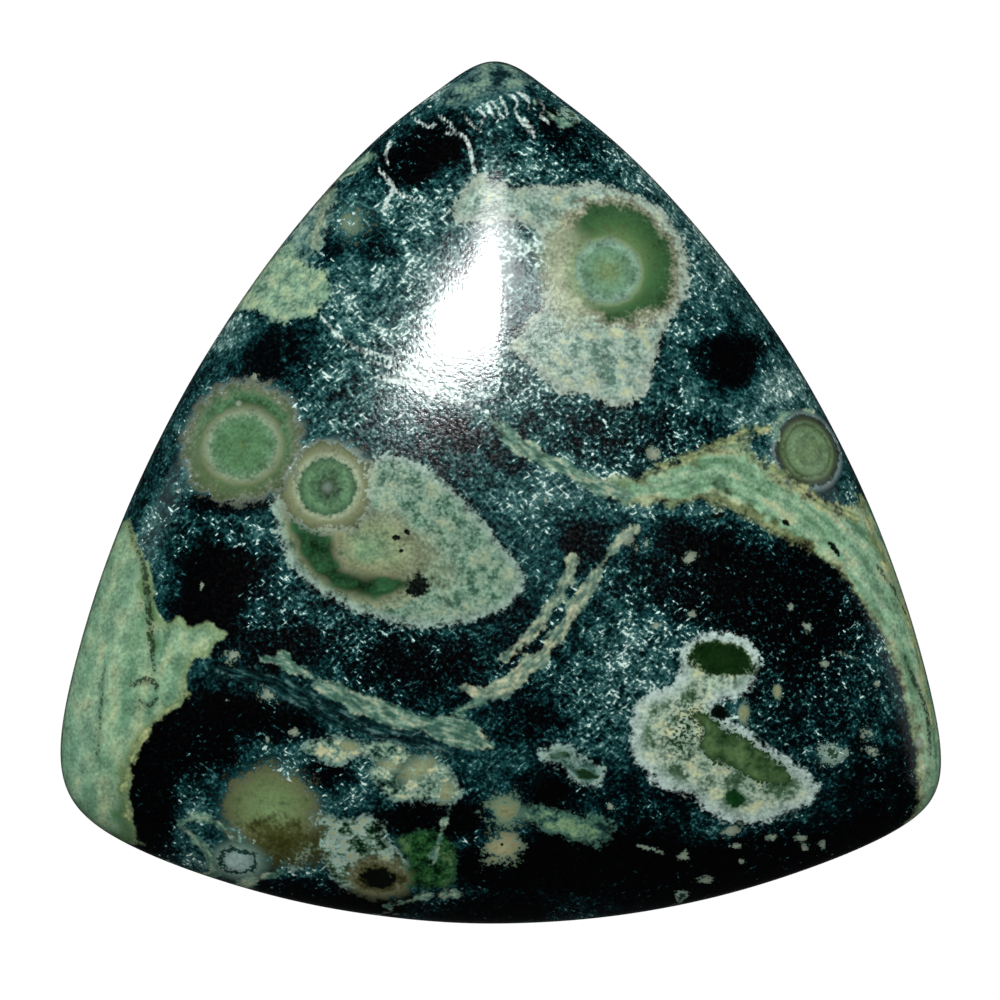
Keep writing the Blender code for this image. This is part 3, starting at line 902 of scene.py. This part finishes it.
LEFT_BAND = [
    (-15.2, -0.5), (-14.8, -1.2), (-14.5, -2.1), (-14.1, -2.9), (-13.8, -3.9), (-13.7, -4.8), (-13.3, -5.2),
    (-12.9, -5.0), (-12.4, -5.3), (-11.7, -5.1), (-11.3, -5.5), (-10.8, -5.6), (-11.3, -6.0), (-11.6, -6.5),
    (-12.2, -6.6), (-12.5, -7.5), (-12.7, -8.4), (-13.4, -8.9), (-14.1, -9.6), (-14.6, -10.5),
    (-14.8, -11.5), (-14.7, -12.9), (-14.5, -13.8), (-14.1, -14.6), (-16.1, -15.5), (-19.3, -12.3),
    (-18.5, -5.9), (-16.5, -0.3),
]
RIGHT_BAND = [
    (4.0, 0.2), (5.6, 0.7), (6.5, 1.0), (7.6, 1.4), (8.1, 1.7), (8.5, 1.8), (9.1, 2.1), (9.8, 2.3),
    (10.3, 2.3), (9.8, 2.0), (9.3, 1.7), (9.8, 1.5), (10.3, 1.3), (10.8, 0.9), (11.6, 0.3), (12.4, -0.1),
    (13.2, -0.5), (13.9, -0.7), (14.4, -0.3), (14.7, 0.1), (16.0, -1.1), (18.4, -8.3), (18.4, -12.3),
    (17.1, -13.9), (16.6, -13.1), (16.75, -11.5), (16.55, -10.3), (16.3, -9.1), (15.95, -7.9), (15.6, -6.7),
    (15.2, -5.7), (14.6, -4.9), (14.0, -4.1), (13.6, -3.5), (12.9, -2.8), (12.0, -2.5), (11.2, -2.1),
    (10.4, -1.6), (9.6, -1.3), (8.8, -0.9), (8.1, -0.7), (7.6, -0.6), (6.7, -0.8), (6.2, -0.5), (5.6, -0.5),
    (4.5, -0.3),
]
LEFT_BAND_RUN = [
    (-15.0, -0.3, 1), (-15.4, -2.7, 1), (-15.9, -5.1, 1), (-16.3, -7.5, 1), (-16.5, -9.9, 1),
    (-16.4, -12.3, 1), (-15.9, -14.3, 1),
]
RIGHT_BAND_RUN = [
    (4.0, 0.0, 1), (5.6, 0.1, 1), (7.2, 0.5, 1), (8.6, 0.8, 1), (9.8, 0.5, 1), (11.0, -0.1, 1),
    (12.2, -0.9, 1), (13.4, -1.9, 1), (14.5, -3.2, 1), (15.4, -4.7, 1), (16.2, -6.7, 1), (16.7, -8.7, 1),
    (17.0, -10.7, 1), (17.0, -12.9, 1),
]
TAN_STREAKS = [
    [(6.3, 1.0, 0.06), (7.6, 1.45, 0.12), (8.7, 2.0, 0.14), (9.8, 2.4, 0.12), (10.6, 2.5, 0.05)],
    [(10.9, 0.9, 0.06), (11.8, 0.35, 0.14), (12.6, -0.25, 0.16), (13.4, -0.75, 0.18), (14.2, -1.1, 0.12)],
    [(14.45, -0.1, 0.12), (14.75, -1.2, 0.20), (15.3, -2.4, 0.18), (15.9, -3.8, 0.14), (16.5, -5.4, 0.10),
     (17.0, -7.4, 0.10), (17.3, -9.4, 0.06)],
    [(-12.50, -8.05, 0.03), (-13.30, -8.70, 0.05), (-14.15, -9.55, 0.06), (-14.72, -10.50, 0.06),
     (-14.95, -11.70, 0.06), (-14.85, -13.00, 0.05)],
]
GREEN_EDGES = [
    [(-13.50, -8.95, 0.06), (-14.25, -9.80, 0.14), (-14.85, -10.80, 0.20), (-15.10, -12.00, 0.24),
     (-15.00, -13.20, 0.28), (-14.70, -14.20, 0.28), (-14.40, -15.00, 0.20)],
    [(-14.30, -2.60, 0.10), (-14.15, -3.80, 0.16), (-13.95, -5.00, 0.16), (-13.85, -6.00, 0.12)],
]
DARK_SEAMS = [
    [(-14.9, -1.1, 0.03), (-14.7, -1.9, 0.06), (-14.3, -2.8, 0.08), (-14.1, -3.9, 0.12),
     (-14.0, -5.1, 0.12), (-13.9, -6.2, 0.10), (-13.8, -7.2, 0.05)],
    [(-14.7, -7.7, 0.07), (-14.2, -7.5, 0.14), (-13.8, -7.6, 0.10), (-13.7, -7.9, 0.06)],
    [(-14.4, -8.3, 0.06), (-14.0, -8.5, 0.10), (-13.7, -8.2, 0.06)],
    [(-15.8, -6.9, 0.02), (-15.9, -7.6, 0.04), (-16.0, -9.2, 0.05), (-16.1, -10.6, 0.03)],
    [(-15.1, -15.1, 0.05), (-14.7, -15.3, 0.12), (-14.4, -15.6, 0.05)],
    [(15.00, -2.90, 0.04), (15.60, -3.70, 0.06), (16.25, -4.70, 0.05)],
    [(16.10, -6.50, 0.05), (16.50, -7.50, 0.08), (16.90, -8.40, 0.08), (17.10, -9.30, 0.07),
     (17.17, -10.50, 0.05)],
]


def parts_of(vector):
    node = nodes.new("ShaderNodeSeparateXYZ")
    feed(node.inputs[0], vector)
    return node.outputs[0], node.outputs[1], node.outputs[2]


def streaks(run, grain=0.16, length=2.4):
    """Streaks that follow a run: the stored places across and along it."""
    return cloud(1.0, 1.0, place=laid(run, scale=(1 / grain, 1 / length, 0)))


def seam_tint(run, grain, length, dark, mid, light, cream):
    """A vein's own mottled and streaked colours."""
    mixed = sum_of("MULTIPLY_ADD", blotchy, 0.5, streaks(run, grain, length))
    mixed = sum_of("MULTIPLY_ADD", frayed_finely, 0.12, mixed)
    return chart(mixed, [(0.34, dark), (0.46, mid), (0.56, light), (0.68, cream), (1.0, cream)])[0]


store_veins("slate_vein", [SLATE_VEIN])
slate_run = stored("slate_vein", "Vector")
slate_tint = seam_tint(
    slate_run, 0.2, 1.0, shade(1, 8, 10), shade(6, 32, 34), shade(20, 58, 58), shade(74, 106, 102))
slate_cover = sum_of("MULTIPLY", cover_of(parts_of(slate_run)[2], 0.12, 0.8, 0.4), 0.9)
colour = blend(slate_cover, colour, slate_tint)

store_patch("left_band", LEFT_BAND, shrink=0.05)
store_veins("left_band_run", [LEFT_BAND_RUN])
left_run = stored("left_band_run", "Vector")
left_tint = seam_tint(
    left_run, 0.6, 2.2, shade(100, 140, 110), shade(118, 154, 122), shade(134, 166, 132),
    shade(152, 172, 134))
left_tint = blend(fade(parts_of(left_run)[0], 0.4, -1.4, 0.0, 0.5), left_tint, shade(100, 146, 124))
left_inside = stored("left_band")
left_tint = blend(fade(left_inside, 0.45, 0.0, 0.0, 0.8), left_tint, shade(118, 140, 98))
colour = blend(cover_of(left_inside, 0.08, 0.5, 0.1), colour, left_tint)

store_veins("green_edges", GREEN_EDGES)
green_edge = cover_of(parts_of(stored("green_edges", "Vector"))[2], 0.2, 1.4, 0.9)
green_edge = sum_of("MULTIPLY", green_edge, fade(left_inside, -0.02, 0.1, 0.0, 0.8))
colour = blend(green_edge, colour, shade(62, 98, 54))

store_patch("right_band", RIGHT_BAND, shrink=0.05)
store_veins("right_band_run", [RIGHT_BAND_RUN])
right_run = stored("right_band_run", "Vector")
across, _, _ = parts_of(right_run)
right_tint = seam_tint(
    right_run, 0.4, 3.0, shade(92, 132, 100), shade(118, 156, 124), shade(136, 172, 140),
    shade(160, 174, 138))
olive_side = fade(sum_of("MULTIPLY_ADD", frayed, 2.0, across), -0.65, -1.1)
olive_tint, _ = chart(middling, [
    (0.34, shade(56, 76, 48)), (0.46, shade(80, 100, 64)), (0.56, shade(104, 120, 78)),
    (0.70, shade(140, 142, 102)), (1.0, shade(140, 142, 102))])
right_tint = blend(sum_of("MULTIPLY", olive_side, 0.9), right_tint, olive_tint)
right_inside = sum_of("SUBTRACT", stored("right_band"), fade(across, -0.2, -1.2, 0.0, 0.35))
tan_edge = fade(sum_of("MULTIPLY_ADD", frayed, 1.2, right_inside), 0.42, 0.05, 0.0, 0.65)
right_tint = blend(tan_edge, right_tint, shade(122, 128, 86))
colour = blend(cover_of(right_inside, 0.22, 1.1, 0.4), colour, right_tint)

store_veins("tan_streaks", TAN_STREAKS)
tan_run = stored("tan_streaks", "Vector")
tan_tint = seam_tint(
    tan_run, 0.2, 1.2, shade(100, 118, 80), shade(128, 142, 98), shade(150, 160, 112), shade(172, 170, 128))
colour = blend(cover_of(parts_of(tan_run)[2], 0.14, 0.9, 0.2), colour, tan_tint)

store_veins("dark_seams", DARK_SEAMS)
seams = parts_of(stored("dark_seams", "Vector"))[2]
dashed = fade(sum_of("ADD", fine, sum_of("MULTIPLY", frayed, 0.5)), 0.42, 0.52, 0.35, 0.9)
colour = blend(sum_of("MULTIPLY", cover_of(seams, 0.06, 0.12, 0.3), dashed), colour, shade(26, 40, 26))

store_veins("pale_veins", PALE_VEINS)
vein_run = stored("pale_veins", "Vector")
vein_tint = seam_tint(
    vein_run, 0.22, 0.6, shade(60, 98, 84), shade(92, 126, 108), shade(120, 150, 130), shade(158, 170, 142))
colour = blend(cover_of(parts_of(vein_run)[2], 0.08, 0.7, 0.15), colour, vein_tint)

store_veins("cream_veins", CREAM_VEINS)
cream_run = stored("cream_veins", "Vector")
cream_tint = seam_tint(
    cream_run, 0.2, 0.6, shade(82, 110, 98), shade(112, 134, 114), shade(136, 154, 130),
    shade(168, 172, 142))
colour = blend(cover_of(parts_of(cream_run)[2], 0.08, 0.7, 0.15), colour, cream_tint)

# The hairlines are painted bright white, partly as a glint of the dome's highlight.
store_veins("hairlines_and_glint", HAIRLINES_AND_GLINT)
hairline_depth = parts_of(stored("hairlines_and_glint", "Vector"))[2]
broken = fade(middling, 0.40, 0.46, 0.35, 0.95)
hairline_and_glint_cover = sum_of("MULTIPLY", cover_of(hairline_depth, 0.05, 0.1, 0.15), broken)
colour = blend(hairline_and_glint_cover, colour, shade(190, 210, 202))


# Spots. Small round growths and grains: pale and tan ones, little ringed ones, and pits of dark green.
SAGE = shade(108, 138, 118)
PALE_SPOTS = [
    (6.11, 1.52, 0.24, 0.28, 0), (7.51, -2.69, 0.24, 0.28, 0), (4.90, -1.76, 0.32, 0.28, 30),
    (5.78, -2.09, 0.32, 0.40, 0), (14.81, -9.66, 0.36, 0.32, 0), (14.85, -10.31, 0.32, 0.24, -30),
    (9.15, -13.51, 0.36, 0.24, 0), (10.84, -13.75, 0.20, 0.16, 0), (12.00, -13.79, 0.28, 0.16, 0),
    (7.31, -14.52, 0.24, 0.28, 0), (5.98, -14.20, 0.56, 0.12, -15), (9.39, -14.12, 0.32, 0.12, 0),
    (12.88, -14.12, 0.16, 0.24, 0), (12.12, -14.24, 0.16, 0.16, 0), (9.59, -14.72, 0.12, 0.12, 0),
    (8.19, -15.52, 0.28, 0.16, 0), (13.92, -6.58, 0.40, 0.12, -20), (12.88, -6.82, 0.16, 0.12, 0),
    (12.24, -5.33, 0.24, 0.16, -30), (11.52, -4.61, 0.12, 0.16, 0), (8.19, -5.01, 0.16, 0.08, 0),
    (7.59, -4.85, 0.16, 0.12, 0), (5.10, -5.05, 0.12, 0.12, 0), (6.19, -5.29, 0.24, 0.16, 0),
    (15.01, -7.62, 0.12, 0.12, 0), (16.73, -9.98, 0.24, 0.20, 0), (4.38, -12.51, 0.12, 0.20, 30),
    (-12.86, 0.08, 0.16, 0.12, 0), (-9.37, 8.54, 0.12, 0.08, 0), (-7.85, 7.90, 0.12, 0.12, 0),
    (-9.81, 4.61, 0.12, 0.12, 0), (-13.46, 2.53, 0.16, 0.12, 0), (-10.46, 3.53, 0.12, 0.12, 0),
    (-10.66, -6.54, 0.40, 0.24, 10), (-9.17, -8.06, 0.36, 0.28, 0), (-8.21, -9.54, 0.24, 0.16, 0),
    (-10.90, -8.26, 0.12, 0.08, 0), (-9.29, -9.78, 0.08, 0.16, 0), (-11.90, -3.69, 0.08, 0.16, 0),
    (1.77, -0.28, 0.08, 0.16, 20),
]
TAN_SPOTS = [
    (-3.24, -11.03, 0.72, 0.40, 30),
    (-2.20, -11.91, 0.36, 0.48, 0), (-4.44, -10.87, 0.40, 0.28, 0), (9.63, -8.78, 0.24, 0.40, 0),
    (-6.05, -10.11, 0.48, 0.20, -10), (11.00, -7.90, 0.16, 0.32, 0),
]
DARK_SPOTS = [
    (-3.32, -3.77, 0.56, 0.40, 30), (-4.16, -1.80, 0.16, 0.12, 0), (-3.72, -1.56, 0.12, 0.12, 0),
    (-3.96, -2.33, 0.12, 0.08, 0), (8.71, -8.78, 0.40, 0.28, 0), (0.05, -14.03, 0.10, 0.10, 0),
    (8.59, -0.92, 0.36, 0.16, 10), (11.32, -1.20, 0.24, 0.12, -30), (13.28, -2.21, 0.40, 0.12, -55),
]
LITTLE_RINGS = [
    (13.20, -10.40, 0.62, 0.36, -5), (2.78, 15.16, 0.40, 0.28, 0), (7.20, -16.10, 0.30, 0.22, 0),
]


def spot_chart(under, name, spots, rings, wobble=1.4):
    """Lays a set of spots, coloured by the share of each spot's reach."""
    store_spots(name, spots)
    length = nodes.new("ShaderNodeVectorMath")
    length.operation = "LENGTH"
    feed(length.inputs[0], stored(name, "Vector"))
    reach = sum_of("MULTIPLY_ADD", unevenness, wobble, length.outputs["Value"])
    tint, cover = chart(reach, rings)
    return blend(cover, under, tint)


colour = spot_chart(colour, "tan_spots", TAN_SPOTS, [
    (0.0, shade(148, 154, 116), 1.0), (0.6, shade(132, 146, 112), 0.95), (0.9, shade(112, 136, 116), 0.7),
    (1.2, SAGE, 0.0)], 2.4)
colour = spot_chart(colour, "pale_spots", PALE_SPOTS, [
    (0.0, shade(150, 160, 138), 1.0), (0.5, shade(126, 146, 130), 0.9), (0.95, SAGE, 0.0)], 3.4)
colour = spot_chart(colour, "little_rings", LITTLE_RINGS, [
    (0.0, shade(40, 66, 48), 1.0), (0.45, shade(52, 82, 62), 1.0), (0.62, shade(130, 156, 144), 1.0),
    (0.95, shade(124, 150, 138), 0.9), (1.15, SAGE, 0.0)], 2.2)
colour = spot_chart(colour, "dark_spots", DARK_SPOTS, [
    (0.0, shade(2, 6, 4), 1.0), (0.75, shade(6, 16, 8), 1.0), (1.15, shade(24, 44, 28), 0.0)])


# The polish again: what the finished colour, the grains' relief and the gloss come to.
grain = nodes.new("ShaderNodeVectorMath")
grain.operation = "SCALE"
feed(grain.inputs[0], colour)
grain_tone = sum_of("MULTIPLY_ADD", frayed, 1.1, sum_of("MULTIPLY_ADD", frayed_finely, 1.1, 0.9))
feed(grain.inputs["Scale"], grain_tone)
bump = nodes.new("ShaderNodeBump")
bump.inputs["Strength"].default_value = 1.0
bump.inputs["Distance"].default_value = GRAIN_RELIEF
feed(bump.inputs["Height"], fine)
feed(polish.inputs["Base Color"], grain.outputs[0])
feed(polish.inputs["Normal"], bump.outputs[0])
feed(polish.inputs["Roughness"], fade(fine, 0.35, 0.65, 0.10, 0.18))
